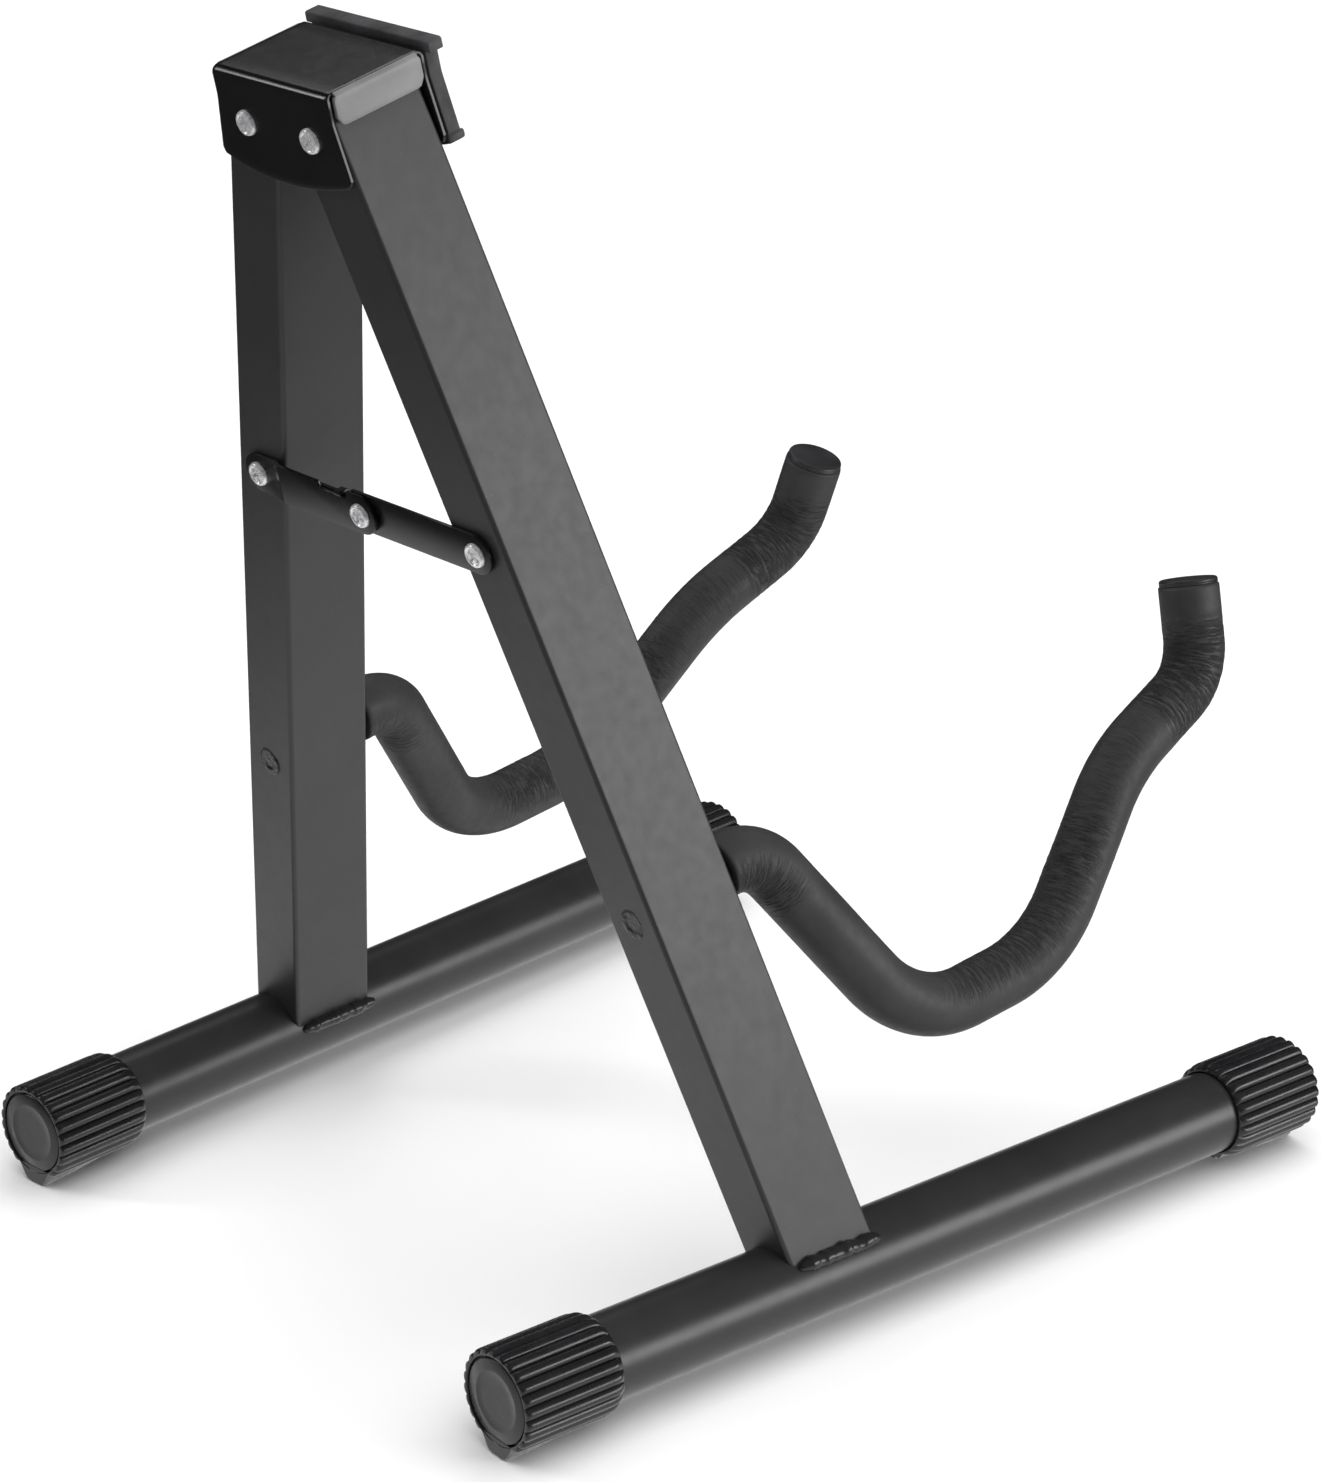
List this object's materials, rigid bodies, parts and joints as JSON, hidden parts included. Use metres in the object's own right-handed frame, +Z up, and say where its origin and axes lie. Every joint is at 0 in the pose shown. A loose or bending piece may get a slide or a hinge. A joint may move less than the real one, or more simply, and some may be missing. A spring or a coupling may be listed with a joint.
{
  "type": "guitar stand",
  "caption": "Folding A-frame guitar rack: splayed rectangular legs under a sheet steel head, floor tubes with ribbed end caps, foam-covered cradle arms and a folding brace.",
  "frame": {"origin": "centre of the bounding box at floor level, with the stand open", "axes": "+X across the stand to its right side, +Y towards the guitar, +Z up"},
  "size_m": [0.2854, 0.3146, 0.3665],
  "materials": {
    "satin_paint": "satin black powder coat",
    "pad_rubber": "matte moulded rubber",
    "cap_rubber": "smooth black moulded rubber",
    "foam": "matte closed-cell foam rubber",
    "plug_plastic": "smooth black moulded plastic",
    "zinc": "bright zinc plate",
    "nylon": "natural nylon"
  },
  "bodies": {
    "head": {"top_bracket": "satin_paint", "front_pad": "pad_rubber", "pivot_screws": "zinc", "pivot_nuts": "zinc", "pivot_washers": "nylon"},
    "left_side": {"left_leg": "satin_paint", "left_floor_tube": "satin_paint", "left_tube_weld": "satin_paint", "left_rear_cap": "cap_rubber", "left_front_cap": "cap_rubber", "left_arm_rod": "satin_paint", "left_arm_weld": "satin_paint", "left_foam_sleeve": "foam", "left_tip_plug": "plug_plastic", "left_link_screw": "zinc", "left_link_nut": "zinc", "left_link_washer": "nylon"},
    "right_side": {"right_leg": "satin_paint", "right_floor_tube": "satin_paint", "right_tube_weld": "satin_paint", "right_rear_cap": "cap_rubber", "right_front_cap": "cap_rubber", "right_arm_rod": "satin_paint", "right_arm_weld": "satin_paint", "right_foam_sleeve": "foam", "right_tip_plug": "plug_plastic", "right_link_screw": "zinc", "right_link_nut": "zinc", "right_link_washer": "nylon"},
    "left_link": {"left_link_plate": "satin_paint", "middle_link_screw": "zinc", "middle_link_washer": "nylon"},
    "right_link": {"right_link_plate": "satin_paint", "middle_link_nut": "zinc"}
  },
  "joints": [
    {"name": "left_leg_hinge", "type": "hinge", "parent": "head", "child": "left_side", "pos_m": [-0.0134, -0.1157, 0.3459], "axis": [0, -0.9751, -0.2215], "range_deg": [0, 16.3]},
    {"name": "right_leg_hinge", "type": "hinge", "parent": "head", "child": "right_side", "pos_m": [0.0134, -0.1157, 0.3459], "axis": [0, 0.9751, 0.2215], "range_deg": [0, 16.3]},
    {"name": "left_link_hinge", "type": "hinge", "parent": "left_side", "child": "left_link", "pos_m": [-0.04688, -0.10654, 0.23109], "axis": [0, -0.9751, -0.2215], "range_deg": [0, 58]},
    {"name": "right_link_hinge", "type": "hinge", "parent": "right_side", "child": "right_link", "pos_m": [0.04688, -0.10654, 0.23109], "axis": [0, 0.9751, 0.2215], "range_deg": [0, 58]}
  ],
  "couplings": [
    {"joint": "right_leg_hinge", "follows": "left_leg_hinge", "ratio": 1},
    {"joint": "left_link_hinge", "follows": "left_leg_hinge", "ratio": 3.54},
    {"joint": "right_link_hinge", "follows": "left_leg_hinge", "ratio": 3.54}
  ]
}
